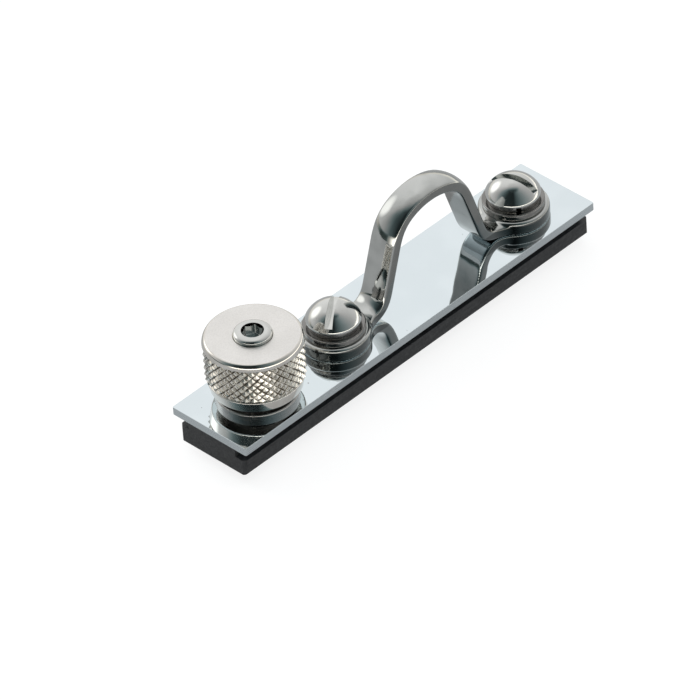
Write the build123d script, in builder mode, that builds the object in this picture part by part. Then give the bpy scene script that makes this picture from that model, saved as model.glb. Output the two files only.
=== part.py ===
from build123d import *
from math import cos, pi, radians, sin, sqrt
import os

# Track car: a flat stainless slide plate on a T-shaped slider, a bent lead eye held by two
# slotted screws, and a sprung stop plunger with a knurled pull knob at the front end.
# Millimetres. X runs along the track towards the rear, Y across it and Z up. The origin is
# in the middle of the car's length and width, at the height of the plunger's tip.

# Slide plate
plate_width = 22.0
plate_thickness = 2.0
plate_edge_break = 0.3

# Slider: its neck stands in the slot of the track and its flange runs under the lips
slider_inset = 0.6
neck_width = 14.0
neck_height = 2.6
flange_width = 19.6
flange_height = 4.0
slider_lead_in = 0.8
slider_edge_break = 0.4

# Bar and nut that lie in pockets in the underside of the slider
bar_width = 15.0
bar_thickness = 3.0
bar_end_margin = 9.0
bar_corner_radius = 1.5
nut_length = 16.0
pocket_clearance = 0.1
pocket_recess = 0.4

# Lead eye and the two screws that hold it
screw_spacing = 57.0
rear_screw_setback = 14.0
strap_width = 7.2
strap_thickness = 3.1
strap_edge_radius = 1.0
foot_diameter = 16.0
foot_edge_radius = 0.7
foot_base_break = 0.3
flare_radius = 6.0
flare_recess = 0.1
eye_height = 25.6
leg_angle = 72.0
bend_radius = 5.4
shoulder_radius = 9.2
crown_radius = 15.8
crown_half_angle = 22.6
washer_diameter = 14.0
washer_thickness = 1.5
washer_edge_break = 0.3
lock_washer_diameter = 11.6
lock_washer_thickness = 1.5
lock_washer_gap = 0.8
front_gap_angle = -40.0
rear_gap_angle = -125.0
screw_diameter = 6.0
screw_length = 13.5
screw_head_diameter = 12.3
screw_head_height = 4.1
screw_head_rim = 0.3
screw_tip_chamfer = 0.8
screw_slot_width = 1.7
screw_slot_depth = 2.9
front_slot_angle = 33.0
rear_slot_angle = -71.0
screw_hole_play = 0.4

# Plunger
plunger_setback = 15.0
plunger_spacing = 24.0
pin_reach = 3.0
pin_travel = 5.0
pin_diameter = 9.0
nose_diameter = 8.0
nose_chamfer = 0.8
stem_diameter = 7.0
running_clearance = 0.05
housing_flange_diameter = 18.5
housing_flange_thickness = 1.5
housing_flange_chamfer = 0.4
shank_diameter = 12.0
barrel_diameter = 13.0
barrel_height = 10.0
barrel_roof = 1.8
barrel_chamfer = 0.5
spring_wire = 0.8
spring_turns = 6.5
spring_seat_play = 0.02
spring_spare = 0.7

# Knob
knob_diameter = 22.2
knob_face_height = 16.4
knob_shoulder_width = 0.95
knob_shoulder_height = 1.66
knob_floor_gap = 3.2
knob_bore_clearance = 0.3
knob_bore_chamfer = 0.5
knurl_count = 38
knurl_height = 8.1
knurl_depth = 0.5
knurl_core = 1.2
groove_height = 0.6
groove_depth = 0.8
ring_inset = 0.4
ring_foot_taper = 0.5
ring_edge_radius = 0.3
knob_screw_diameter = 5.0
knob_screw_length = 12.0
knob_screw_head_diameter = 8.5
knob_screw_head_height = 5.0
knob_screw_stand = 1.2
knob_screw_edge_width = 1.2
knob_screw_edge_height = 0.7
socket_width = 4.0
socket_depth = 2.6
socket_mouth_diameter = 5.0
counterbore_clearance = 0.05
tapped_hole_spare = 1.0

# Heights
slider_bottom = pin_reach
plate_bottom = slider_bottom + flange_height + neck_height
plate_top = plate_bottom + plate_thickness
pocket_roof = slider_bottom + pocket_recess + bar_thickness
bar_bottom = pocket_roof - bar_thickness
washer_bottom = plate_top + strap_thickness
lock_washer_bottom = washer_bottom + washer_thickness
head_bottom = lock_washer_bottom + lock_washer_thickness
barrel_top = plate_top + barrel_height
spring_roof = barrel_top - barrel_roof
spring_block = (spring_turns + 1) * spring_wire
pin_shoulder = spring_roof - spring_block - spring_spare - pin_travel
knob_face = plate_top + knob_face_height
knob_bottom = plate_top + knob_floor_gap
knurl_top = knob_face - knob_shoulder_height
knurl_bottom = knurl_top - knurl_height
ring_top = knurl_bottom - groove_height
knob_screw_top = knob_face + knob_screw_stand
knob_screw_seat = knob_screw_top - knob_screw_head_height
stem_top = barrel_top

# Places along the car
plate_length = plunger_setback + plunger_spacing + screw_spacing + rear_screw_setback
plunger_x = plunger_setback - plate_length / 2
rear_screw_x = plate_length / 2 - rear_screw_setback
front_screw_x = rear_screw_x - screw_spacing
screw_places = [(front_screw_x, 0), (rear_screw_x, 0)]
screw_radius = screw_diameter / 2 - running_clearance
plunger_axis = Axis((plunger_x, 0, 0), (0, 0, 1))


def side_plane(x, z=0.0):
    """Upright plane along the car: its own X is the car's X and its own Y is the height."""
    return Plane(origin=(x, 0, z), x_dir=(1, 0, 0), z_dir=(0, -1, 0))


def save(piece, name):
    piece.part.label = name
    export_step(piece.part, f"parts/{name}.step")


def make_washer(x):
    with BuildPart() as washer:
        with BuildSketch(Plane((x, 0, washer_bottom))):
            Circle(washer_diameter / 2)
            Circle(screw_diameter / 2 + screw_hole_play / 2, mode=Mode.SUBTRACT)
        extrude(amount=washer_thickness)
        rims = washer.edges().filter_by(GeomType.CIRCLE)
        chamfer(rims.sort_by(Axis.Z)[-2:].sort_by(SortBy.RADIUS)[-1], washer_edge_break)
    return washer


def make_lock_washer(x, gap_angle):
    """Split spring washer, pressed flat under the head, with its gap at the given angle."""
    with BuildPart() as lock_washer:
        with BuildSketch(Plane((x, 0, lock_washer_bottom)).rotated((0, 0, gap_angle))):
            Circle(lock_washer_diameter / 2)
            Circle(screw_diameter / 2 + screw_hole_play / 2, mode=Mode.SUBTRACT)
            with Locations((lock_washer_diameter / 2, 0)):
                Rectangle(lock_washer_diameter, lock_washer_gap, mode=Mode.SUBTRACT)
        extrude(amount=lock_washer_thickness)
    return lock_washer


def make_screw(x, slot_angle):
    """Slotted round-head screw: a high dome on a thin rim, and a shank down into the bar."""
    head_radius = screw_head_diameter / 2
    rim_top = head_bottom + screw_head_rim
    dome_rise = screw_head_height - screw_head_rim
    dome_radius = (head_radius**2 + dome_rise**2) / (2 * dome_rise)
    head_top = head_bottom + screw_head_height
    tip = head_bottom - screw_length
    with BuildPart() as screw:
        with BuildSketch(side_plane(x)):
            with BuildLine():
                Polyline(
                    (0, head_top),
                    (0, tip),
                    (screw_radius - screw_tip_chamfer, tip),
                    (screw_radius, tip + screw_tip_chamfer),
                    (screw_radius, head_bottom),
                    (head_radius, head_bottom),
                    (head_radius, rim_top),
                )
                RadiusArc((head_radius, rim_top), (0, head_top), -dome_radius)
            make_face()
        revolve(axis=Axis((x, 0, 0), (0, 0, 1)))
        with BuildSketch(Plane((x, 0, head_top)).rotated((0, 0, slot_angle))):
            Rectangle(2 * screw_head_diameter, screw_slot_width)
        extrude(amount=-screw_slot_depth, mode=Mode.SUBTRACT)
    return screw


def make_knurl():
    """Ring of diamond pyramids between two sets of crossing helical grooves.

    The grooves cross at every second point of a lattice of half pitches, and each other
    point is the peak of a pyramid whose four flanks run down to its four neighbours.
    """
    peak_radius = knob_diameter / 2
    steps = 2 * knurl_count
    half_pitch = 2 * pi * peak_radius / steps
    rows = max(2, round(knurl_height / half_pitch))

    def lattice(step, row):
        crossing = (step + row) % 2 == 0
        radius = peak_radius - knurl_depth if crossing else peak_radius
        angle = radians(360 * (step % steps) / steps)
        height = knurl_bottom + knurl_height * row / rows
        return Vector(plunger_x + radius * cos(angle), radius * sin(angle), height)

    def flank(*corners):
        return Face(Wire.make_polygon(corners))

    flanks = []
    for row in range(rows):
        for step in range(steps):
            low, low_next = lattice(step, row), lattice(step + 1, row)
            high, high_next = lattice(step, row + 1), lattice(step + 1, row + 1)
            if (step + row) % 2 == 0:
                flanks += [flank(low, low_next, high_next), flank(low, high_next, high)]
            else:
                flanks += [flank(low, low_next, high), flank(low_next, high_next, high)]

    core_radius = peak_radius - knurl_depth - knurl_core
    ends = []
    for row, height in ((0, knurl_bottom), (rows, knurl_top)):
        outline = Wire.make_polygon([lattice(step, row) for step in range(steps)])
        bore = Wire.make_circle(core_radius, Plane((plunger_x, 0, height)))
        ends.append(Face(outline, [bore]))
    bore_edge = Edge.make_circle(core_radius, Plane((plunger_x, 0, knurl_bottom)))
    bore_wall = Face.extrude(bore_edge, (0, 0, knurl_height))
    return Solid(Shell(flanks + ends + [bore_wall]))


os.makedirs("parts", exist_ok=True)

# The plate is a plain strip of polished sheet with crisp corners
with BuildPart() as slide_plate:
    with BuildSketch(Plane.XY.offset(plate_bottom)):
        Rectangle(plate_length, plate_width)
        with Locations((plunger_x, 0)):
            Circle(shank_diameter / 2 + screw_hole_play / 2, mode=Mode.SUBTRACT)
        with Locations(screw_places):
            Circle(screw_diameter / 2 + screw_hole_play / 2, mode=Mode.SUBTRACT)
    extrude(amount=plate_thickness)
    top_face = slide_plate.faces().sort_by(Axis.Z)[-1]
    chamfer(top_face.outer_wire().edges(), plate_edge_break)

# The slider has a T section, eased edges and a lead-in at both ends
with BuildPart() as slider:
    with BuildSketch(Plane.YZ):
        with BuildLine():
            Polyline(
                (-flange_width / 2, slider_bottom),
                (flange_width / 2, slider_bottom),
                (flange_width / 2, slider_bottom + flange_height),
                (neck_width / 2, slider_bottom + flange_height),
                (neck_width / 2, plate_bottom),
                (-neck_width / 2, plate_bottom),
                (-neck_width / 2, slider_bottom + flange_height),
                (-flange_width / 2, slider_bottom + flange_height),
                close=True,
            )
        make_face()
    extrude(amount=plate_length / 2 - slider_inset, both=True)
    outer_edges = slider.edges().filter_by(Axis.Z).group_by(SortBy.LENGTH)[-1]
    chamfer(outer_edges, slider_lead_in)
    long_edges = slider.edges().filter_by(Axis.X).group_by(Axis.Z)[0]
    chamfer(long_edges, slider_edge_break)
    with BuildSketch(Plane.XY.offset(slider_bottom)):
        with Locations((plunger_x, 0)):
            Rectangle(nut_length + 2 * pocket_clearance, bar_width + 2 * pocket_clearance)
        with Locations(((front_screw_x + rear_screw_x) / 2, 0)):
            bar_length = screw_spacing + 2 * bar_end_margin
            Rectangle(bar_length + 2 * pocket_clearance, bar_width + 2 * pocket_clearance)
    extrude(amount=pocket_roof - slider_bottom, mode=Mode.SUBTRACT)
    with BuildSketch(Plane.XY.offset(slider_bottom)):
        with Locations((plunger_x, 0)):
            Circle(shank_diameter / 2 + screw_hole_play / 2)
        with Locations(screw_places):
            Circle(screw_diameter / 2 + screw_hole_play / 2)
    extrude(amount=plate_bottom - slider_bottom, mode=Mode.SUBTRACT)

# Tapped bar for the two screws of the lead eye
with BuildPart() as tapped_bar:
    with BuildSketch(Plane.XY.offset(bar_bottom)):
        with Locations(((front_screw_x + rear_screw_x) / 2, 0)):
            RectangleRounded(screw_spacing + 2 * bar_end_margin, bar_width, bar_corner_radius)
        with Locations(screw_places):
            Circle(screw_diameter / 2, mode=Mode.SUBTRACT)
    extrude(amount=bar_thickness)

# Flat nut on the plunger's shank, held from turning by its pocket
with BuildPart() as housing_nut:
    with BuildSketch(Plane.XY.offset(bar_bottom)):
        with Locations((plunger_x, 0)):
            RectangleRounded(nut_length, bar_width, bar_corner_radius)
            Circle(shank_diameter / 2 + running_clearance, mode=Mode.SUBTRACT)
    extrude(amount=bar_thickness)

# The lead eye is one flat bar with round pierced feet, bent up into a high arch
bend = radians(leg_angle)
crown = radians(crown_half_angle)
arc_rise = (
    bend_radius * (1 - cos(bend))
    + shoulder_radius * (cos(crown) - cos(bend))
    + crown_radius * (1 - cos(crown))
)
leg_length = (eye_height - strap_thickness - arc_rise) / sin(bend)
arc_run = (
    bend_radius * sin(bend)
    + leg_length * cos(bend)
    + shoulder_radius * (sin(bend) - sin(crown))
    + crown_radius * sin(crown)
)
tab_length = screw_spacing / 2 - arc_run
strap_middle = plate_top + strap_thickness / 2

# Each foot runs out into the strap in a flare, which carries on up the bend. It is a little
# thinner than the strap, so that the strap's rounded edges stand proud of it
flare_side = strap_width / 2 + flare_radius
flare_reach = sqrt((foot_diameter / 2 + flare_radius) ** 2 - flare_side**2)
with BuildPart() as flare:
    with BuildLine(side_plane(front_screw_x, strap_middle)) as bend_path:
        tab = Line((0, 0), (tab_length, 0))
        JernArc(tab @ 1, tab % 1, bend_radius, leg_angle)
    with BuildSketch(Plane(bend_path.line @ 0, x_dir=(0, 1, 0), z_dir=(1, 0, 0))):
        Rectangle(foot_diameter, strap_thickness - 2 * flare_recess)
    sweep(path=bend_path.line)
    with BuildSketch(Plane((front_screw_x, 0, plate_top))):
        Polygon((0, 0), (flare_reach, -flare_side), (flare_reach, flare_side), align=None)
        with Locations((flare_reach, flare_side), (flare_reach, -flare_side)):
            Circle(flare_radius, mode=Mode.SUBTRACT)
    extrude(amount=eye_height, mode=Mode.INTERSECT)

with BuildPart() as lead_eye:
    with BuildSketch(Plane.XY.offset(plate_top)):
        with Locations(screw_places):
            Circle(foot_diameter / 2)
    extrude(amount=strap_thickness)
    foot_rims = lead_eye.edges().filter_by(GeomType.CIRCLE).group_by(Axis.Z)
    fillet(foot_rims[-1], foot_edge_radius)
    chamfer(foot_rims[0], foot_base_break)
    with BuildLine(side_plane(front_screw_x, strap_middle)) as strap_path:
        front_tab = Line((0, 0), (tab_length, 0))
        front_bend = JernArc(front_tab @ 1, front_tab % 1, bend_radius, leg_angle)
        front_leg = PolarLine(front_bend @ 1, leg_length, leg_angle)
        turn = leg_angle - crown_half_angle
        front_shoulder = JernArc(front_leg @ 1, front_leg % 1, shoulder_radius, -turn)
        crown_arc = JernArc(
            front_shoulder @ 1, front_shoulder % 1, crown_radius, -2 * crown_half_angle
        )
        rear_shoulder = JernArc(crown_arc @ 1, crown_arc % 1, shoulder_radius, -turn)
        rear_leg = PolarLine(rear_shoulder @ 1, leg_length, -leg_angle)
        rear_bend = JernArc(rear_leg @ 1, rear_leg % 1, bend_radius, leg_angle)
        Line(rear_bend @ 1, rear_bend @ 1 + (rear_bend % 1) * tab_length)
    with BuildSketch(Plane(strap_path.line @ 0, x_dir=(0, 1, 0), z_dir=(1, 0, 0))):
        RectangleRounded(strap_width, strap_thickness, strap_edge_radius)
    sweep(path=strap_path.line)
    add(flare.part)
    mirror(flare.part, about=Plane.YZ.offset((front_screw_x + rear_screw_x) / 2))
    with BuildSketch(Plane.XY.offset(plate_top)):
        with Locations(screw_places):
            Circle(screw_diameter / 2 + screw_hole_play / 2)
    extrude(amount=strap_thickness, mode=Mode.SUBTRACT)

front_washer = make_washer(front_screw_x)
rear_washer = make_washer(rear_screw_x)
front_lock_washer = make_lock_washer(front_screw_x, front_gap_angle)
rear_lock_washer = make_lock_washer(rear_screw_x, rear_gap_angle)
front_screw = make_screw(front_screw_x, front_slot_angle)
rear_screw = make_screw(rear_screw_x, rear_slot_angle)

# The housing is turned in one piece: a shank through the plate, a flange that seats on it
# and a barrel that guides the pin, holds the spring and stops the knob
with BuildPart() as plunger_housing:
    shank_radius = shank_diameter / 2
    flange_radius = housing_flange_diameter / 2
    barrel_radius = barrel_diameter / 2
    bore_radius = pin_diameter / 2 + running_clearance
    stem_hole_radius = stem_diameter / 2 + running_clearance
    flange_top = plate_top + housing_flange_thickness
    with BuildSketch(side_plane(plunger_x)):
        with BuildLine():
            Polyline(
                (bore_radius, bar_bottom),
                (shank_radius, bar_bottom),
                (shank_radius, plate_top),
                (flange_radius, plate_top),
                (flange_radius, flange_top - housing_flange_chamfer),
                (flange_radius - housing_flange_chamfer, flange_top),
                (barrel_radius, flange_top),
                (barrel_radius, barrel_top - barrel_chamfer),
                (barrel_radius - barrel_chamfer, barrel_top),
                (stem_hole_radius, barrel_top),
                (stem_hole_radius, spring_roof),
                (bore_radius, spring_roof),
                close=True,
            )
        make_face()
    revolve(axis=plunger_axis)

# The pin's nose drops into a hole of the track, and its stem passes up through the spring
with BuildPart() as plunger_pin:
    pin_radius = pin_diameter / 2
    nose_radius = nose_diameter / 2
    stem_radius = stem_diameter / 2
    tapped_radius = knob_screw_diameter / 2 + running_clearance
    tapped_bottom = knob_screw_seat - knob_screw_length - tapped_hole_spare
    with BuildSketch(side_plane(plunger_x)):
        with BuildLine():
            Polyline(
                (0, 0),
                (nose_radius - nose_chamfer, 0),
                (nose_radius, nose_chamfer),
                (nose_radius, pin_reach),
                (pin_radius, pin_reach),
                (pin_radius, pin_shoulder),
                (stem_radius, pin_shoulder),
                (stem_radius, stem_top),
                (tapped_radius, stem_top),
                (tapped_radius, tapped_bottom),
                (0, tapped_bottom),
                close=True,
            )
        make_face()
    revolve(axis=plunger_axis)

with BuildPart() as plunger_spring:
    spring_radius = (pin_diameter + stem_diameter) / 4
    spring_start = pin_shoulder + spring_wire / 2 + spring_seat_play
    spring_rise = spring_roof - pin_shoulder - spring_wire - 2 * spring_seat_play
    with BuildLine() as coil:
        Helix(
            pitch=spring_rise / spring_turns,
            height=spring_rise,
            radius=spring_radius,
            center=(plunger_x, 0, spring_start),
        )
    with BuildSketch(Plane(coil.line @ 0, z_dir=coil.line % 0)):
        Circle(spring_wire / 2)
    sweep(path=coil.line, is_frenet=True)

# The knob is a turned cap over the barrel, with a rounded shoulder, a diamond knurl, a
# groove below it and a smooth ring at its foot
with BuildPart() as knob:
    knob_radius = knob_diameter / 2
    face_radius = knob_radius - knob_shoulder_width
    core_radius = knob_radius - knurl_depth - knurl_core / 2
    groove_radius = knob_radius - groove_depth
    ring_radius = knob_radius - ring_inset
    ring_foot_radius = ring_radius - ring_foot_taper
    knob_bore_radius = barrel_radius + knob_bore_clearance
    screw_way_radius = knob_screw_diameter / 2 + screw_hole_play / 2
    counterbore_radius = knob_screw_head_diameter / 2 + counterbore_clearance
    with BuildSketch(side_plane(plunger_x)):
        with BuildLine():
            Polyline(
                (face_radius, knob_face),
                (counterbore_radius, knob_face),
                (counterbore_radius, knob_screw_seat),
                (screw_way_radius, knob_screw_seat),
                (screw_way_radius, barrel_top),
                (knob_bore_radius, barrel_top),
                (knob_bore_radius, knob_bottom + knob_bore_chamfer),
                (knob_bore_radius + knob_bore_chamfer, knob_bottom),
            )
            FilletPolyline(
                (knob_bore_radius + knob_bore_chamfer, knob_bottom),
                (ring_foot_radius, knob_bottom),
                (ring_radius, ring_top),
                (groove_radius, ring_top),
                radius=ring_edge_radius,
            )
            Polyline(
                (groove_radius, ring_top),
                (groove_radius, knurl_bottom),
                (core_radius, knurl_bottom),
                (core_radius, knurl_top),
                (knob_radius, knurl_top),
            )
            EllipticalCenterArc(
                (face_radius, knurl_top),
                knob_radius - face_radius,
                knob_shoulder_height,
                start_angle=0,
                arc_size=90,
            )
        make_face()
    revolve(axis=plunger_axis)
    add(make_knurl())

# Hexagon socket screw that clamps the knob on the stem. Its head has a well rounded edge,
# and the mouth of its socket is a 45 degree cone
with BuildPart() as knob_screw:
    screw_head_radius = knob_screw_head_diameter / 2
    screw_shank_radius = knob_screw_diameter / 2
    mouth_radius = socket_mouth_diameter / 2
    edge_centre_radius = screw_head_radius - knob_screw_edge_width
    edge_bottom = knob_screw_top - knob_screw_edge_height
    screw_end = knob_screw_seat - knob_screw_length
    with BuildSketch(side_plane(plunger_x)):
        with BuildLine():
            Polyline(
                (edge_centre_radius, knob_screw_top),
                (0, knob_screw_top),
                (0, screw_end),
                (screw_shank_radius, screw_end),
                (screw_shank_radius, knob_screw_seat),
                (screw_head_radius, knob_screw_seat),
                (screw_head_radius, edge_bottom),
            )
            EllipticalCenterArc(
                (edge_centre_radius, edge_bottom),
                knob_screw_edge_width,
                knob_screw_edge_height,
                start_angle=0,
                arc_size=90,
            )
        make_face()
    revolve(axis=plunger_axis)
    with BuildSketch(Plane((plunger_x, 0, knob_screw_top))):
        RegularPolygon(socket_width / 2, 6, major_radius=False)
    extrude(amount=-socket_depth, mode=Mode.SUBTRACT)
    with BuildSketch(side_plane(plunger_x)):
        with BuildLine():
            Polyline(
                (0, knob_screw_top),
                (mouth_radius, knob_screw_top),
                (0, knob_screw_top - mouth_radius),
                close=True,
            )
        make_face()
    revolve(axis=plunger_axis, mode=Mode.SUBTRACT)

save(slide_plate, "slide_plate")
save(slider, "slider")
save(tapped_bar, "tapped_bar")
save(housing_nut, "housing_nut")
save(lead_eye, "lead_eye")
save(front_washer, "front_washer")
save(rear_washer, "rear_washer")
save(front_lock_washer, "front_lock_washer")
save(rear_lock_washer, "rear_lock_washer")
save(front_screw, "front_screw")
save(rear_screw, "rear_screw")
save(plunger_housing, "plunger_housing")
save(plunger_pin, "plunger_pin")
save(plunger_spring, "plunger_spring")
save(knob, "knob")
save(knob_screw, "knob_screw")
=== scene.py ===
import bpy
from math import asin, atan2, ceil, cos, degrees, hypot, pi, radians, sin, sqrt
from mathutils import Matrix, Vector


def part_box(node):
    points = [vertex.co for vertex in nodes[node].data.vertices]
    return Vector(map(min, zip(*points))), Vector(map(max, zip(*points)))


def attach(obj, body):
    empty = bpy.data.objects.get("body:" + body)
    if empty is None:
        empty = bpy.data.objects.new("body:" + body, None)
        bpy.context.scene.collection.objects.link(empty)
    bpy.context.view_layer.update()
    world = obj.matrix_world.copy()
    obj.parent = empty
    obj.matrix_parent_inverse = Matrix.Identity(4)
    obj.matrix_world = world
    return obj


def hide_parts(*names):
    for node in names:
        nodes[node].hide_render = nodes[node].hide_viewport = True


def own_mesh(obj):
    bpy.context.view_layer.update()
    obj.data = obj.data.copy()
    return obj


# Looks of the track car: polished slide plate, bent lead eye, slotted screws and a
# knurled pull knob. Metres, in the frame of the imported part.

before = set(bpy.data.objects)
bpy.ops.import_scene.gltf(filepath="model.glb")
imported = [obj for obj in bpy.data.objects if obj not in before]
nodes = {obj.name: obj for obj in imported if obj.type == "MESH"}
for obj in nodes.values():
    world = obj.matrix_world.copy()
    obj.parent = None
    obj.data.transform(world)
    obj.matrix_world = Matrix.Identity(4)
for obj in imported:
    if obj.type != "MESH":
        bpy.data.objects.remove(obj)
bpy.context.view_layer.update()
tiny = 0.000002                                   # verts closer than this are one
seedSize = 0.001                                  # plane that is merged into one vertex


# modelling helpers

def selectNone():
    if bpy.context.mode != "OBJECT":
        bpy.ops.object.mode_set(mode="OBJECT")
    bpy.ops.object.select_all(action="DESELECT")


def makeActive(piece):
    selectNone()
    piece.select_set(True)
    bpy.context.view_layer.objects.active = piece


def applyPlace(piece):
    makeActive(piece)
    bpy.ops.object.transform_apply(location=True, rotation=True, scale=True)


def selectParts(piece, verts=None, edges=None, faces=None):
    # picks by a test on the element, in the select mode that fits it
    kind = "VERT" if verts else "EDGE" if edges else "FACE"
    bpy.ops.object.mode_set(mode="EDIT")
    bpy.ops.mesh.select_mode(type=kind)
    bpy.ops.mesh.select_all(action="DESELECT")
    bpy.ops.object.mode_set(mode="OBJECT")
    mesh = piece.data
    picked = {"VERT": mesh.vertices, "EDGE": mesh.edges, "FACE": mesh.polygons}[kind]
    test = verts or edges or faces
    for part in picked:
        part.select = bool(test(part))
    bpy.ops.object.mode_set(mode="EDIT")


def closeMesh(piece, weld=tiny):
    makeActive(piece)
    bpy.ops.object.mode_set(mode="EDIT")
    bpy.ops.mesh.select_all(action="SELECT")
    bpy.ops.mesh.remove_doubles(threshold=weld)
    bpy.ops.mesh.normals_make_consistent(inside=False)
    bpy.ops.object.mode_set(mode="OBJECT")


def applyModifier(piece, kind, **values):
    makeActive(piece)
    modifier = piece.modifiers.new(kind.title(), kind)
    for name, value in values.items():
        setattr(modifier, name, value)
    bpy.ops.object.modifier_apply(modifier=modifier.name)


def softenEdges(piece, width, segments=3, angle=32):
    applyModifier(piece, "BEVEL", width=width, segments=segments, limit_method="ANGLE",
                  angle_limit=radians(angle), use_clamp_overlap=True)


def finishShading(piece, angle=30, weight=80):
    makeActive(piece)
    bpy.ops.object.shade_smooth_by_angle(angle=radians(angle))
    applyModifier(piece, "WEIGHTED_NORMAL", weight=weight, keep_sharp=True)


def plantVertex(name, place):
    # a piece that is one vertex, selected in edit mode and ready to be extruded
    selectNone()
    bpy.ops.mesh.primitive_plane_add(size=seedSize, location=place)
    piece = bpy.context.object
    piece.name = piece.data.name = name
    applyPlace(piece)
    bpy.ops.object.mode_set(mode="EDIT")
    bpy.ops.mesh.select_mode(type="VERT")
    bpy.ops.mesh.select_all(action="SELECT")
    bpy.ops.mesh.merge(type="CENTER")
    return piece


def turnPiece(name, axis, profile, steps=96):
    # extrudes one vertex along a half section of (radius, height) and spins it round axis
    radius, height = profile[0]
    piece = plantVertex(name, (axis[0] + radius, axis[1], height))
    for (r0, z0), (r1, z1) in zip(profile, profile[1:]):
        bpy.ops.mesh.extrude_vertices_move(
            TRANSFORM_OT_translate={"value": (r1 - r0, 0, z1 - z0)})
    bpy.ops.mesh.select_all(action="SELECT")
    bpy.ops.mesh.spin(steps=steps, angle=2 * pi, center=(axis[0], axis[1], 0), axis=(0, 0, 1))
    closeMesh(piece)
    return piece


def drawOutline(name, points):
    # walks one vertex round a closed outline and fills it
    piece = plantVertex(name, points[0])
    for here, there in zip(points, points[1:]):
        move = [b - a for a, b in zip(here, there)]
        bpy.ops.mesh.extrude_vertices_move(TRANSFORM_OT_translate={"value": move})
    bpy.ops.mesh.select_all(action="SELECT")
    bpy.ops.mesh.edge_face_add()
    bpy.ops.object.mode_set(mode="OBJECT")
    return piece


def arcPoints(centre, start, end, first, last, steps):
    # points on an ellipse with half axes start and end, angles in degrees from outwards up
    points = []
    for step in range(steps + 1):
        turn = radians(first + (last - first) * step / steps)
        points.append((centre[0] + start * cos(turn), centre[1] + end * sin(turn)))
    return points


def cutWith(piece, cutter):
    applyPlace(cutter)
    applyModifier(piece, "BOOLEAN", operation="DIFFERENCE", solver="EXACT", object=cutter)
    bpy.data.objects.remove(cutter)


def ringCentre(node):
    low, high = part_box(node)
    return (low + high) / 2


def dress(piece, body, material, slotName, *replaced):
    if not piece.data.materials:
        piece.data.materials.append(material)
    else:
        piece.data.materials[0] = material
    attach(piece, body)
    if replaced:
        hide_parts(*replaced)


# shader groups

def newGroup(name, inputs, outputs):
    group = bpy.data.node_groups.new(name, "ShaderNodeTree")
    for label, kind, value in inputs:
        socket = group.interface.new_socket(name=label, in_out="INPUT", socket_type=kind)
        if value is not None:
            socket.default_value = value
    for label, kind in outputs:
        group.interface.new_socket(name=label, in_out="OUTPUT", socket_type=kind)
    return group, group.nodes.new("NodeGroupInput"), group.nodes.new("NodeGroupOutput")


def addNode(tree, kind, links=None, **values):
    node = tree.nodes.new(kind)
    for name, value in values.items():
        if hasattr(node, name):
            setattr(node, name, value)
        else:
            node.inputs[name].default_value = value
    for key, source in (links or {}).items():
        tree.links.new(source, node.inputs[key])
    return node


def mathNode(tree, operation, first, second=None, clamp=False):
    node = tree.nodes.new("ShaderNodeMath")
    node.operation = operation
    node.use_clamp = clamp
    for index, value in enumerate((first, second)):
        if value is None:
            continue
        if isinstance(value, (int, float)):
            node.inputs[index].default_value = value
        else:
            tree.links.new(value, node.inputs[index])
    return node.outputs[0]


def mapRange(tree, value, fromMin, fromMax, toMin=0.0, toMax=1.0, smooth=True):
    node = tree.nodes.new("ShaderNodeMapRange")
    node.interpolation_type = "SMOOTHSTEP" if smooth else "LINEAR"
    for label, number in (("From Min", fromMin), ("From Max", fromMax),
                          ("To Min", toMin), ("To Max", toMax)):
        if isinstance(number, (int, float)):
            node.inputs[label].default_value = number
        else:
            tree.links.new(number, node.inputs[label])
    tree.links.new(value, node.inputs["Value"])
    return node.outputs["Result"]


def mixColour(tree, factor, first, second):
    node = tree.nodes.new("ShaderNodeMix")
    node.data_type = "RGBA"
    for index, value in ((0, factor), (6, first), (7, second)):
        if hasattr(value, "is_output"):
            tree.links.new(value, node.inputs[index])
        else:
            node.inputs[index].default_value = value
    return node.outputs[2]


def makePolishGroup():
    # slow waves left by the polishing wheel, fine hairlines and pinhole specks
    look = {"hairStretch": 0.06, "speckCore": 0.10, "speckRim": 0.16, "rareSpan": (0.93, 0.96)}
    group, given, out = newGroup(
        "wheelPolish",
        [("Vector", "NodeSocketVector", None), ("Wave Size", "NodeSocketFloat", 120.0),
         ("Hairline Size", "NodeSocketFloat", 2600.0),
         ("Speck Size", "NodeSocketFloat", 420.0)],
        [("Height", "NodeSocketFloat"), ("Hairlines", "NodeSocketFloat"),
         ("Specks", "NodeSocketFloat")])
    wave = addNode(group, "ShaderNodeTexNoise",
                   {"Vector": given.outputs["Vector"], "Scale": given.outputs["Wave Size"]},
                   Detail=1.5, Roughness=0.4)
    stretch = addNode(group, "ShaderNodeMapping", {"Vector": given.outputs["Vector"]},
                      Scale=(look["hairStretch"], 1.0, 1.0))
    hair = addNode(group, "ShaderNodeTexNoise",
                   {"Vector": stretch.outputs[0], "Scale": given.outputs["Hairline Size"]},
                   Detail=3.0, Roughness=0.65)
    speck = addNode(group, "ShaderNodeTexVoronoi",
                    {"Vector": given.outputs["Vector"], "Scale": given.outputs["Speck Size"]})
    rare = addNode(group, "ShaderNodeTexWhiteNoise", {"Vector": speck.outputs["Position"]})
    near = mapRange(group, speck.outputs["Distance"], look["speckCore"], look["speckRim"],
                    1.0, 0.0)
    few = mapRange(group, rare.outputs["Value"], *look["rareSpan"])
    group.links.new(wave.outputs["Fac"], out.inputs["Height"])
    group.links.new(hair.outputs["Fac"], out.inputs["Hairlines"])
    group.links.new(mathNode(group, "MULTIPLY", near, few), out.inputs["Specks"])
    return group


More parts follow.
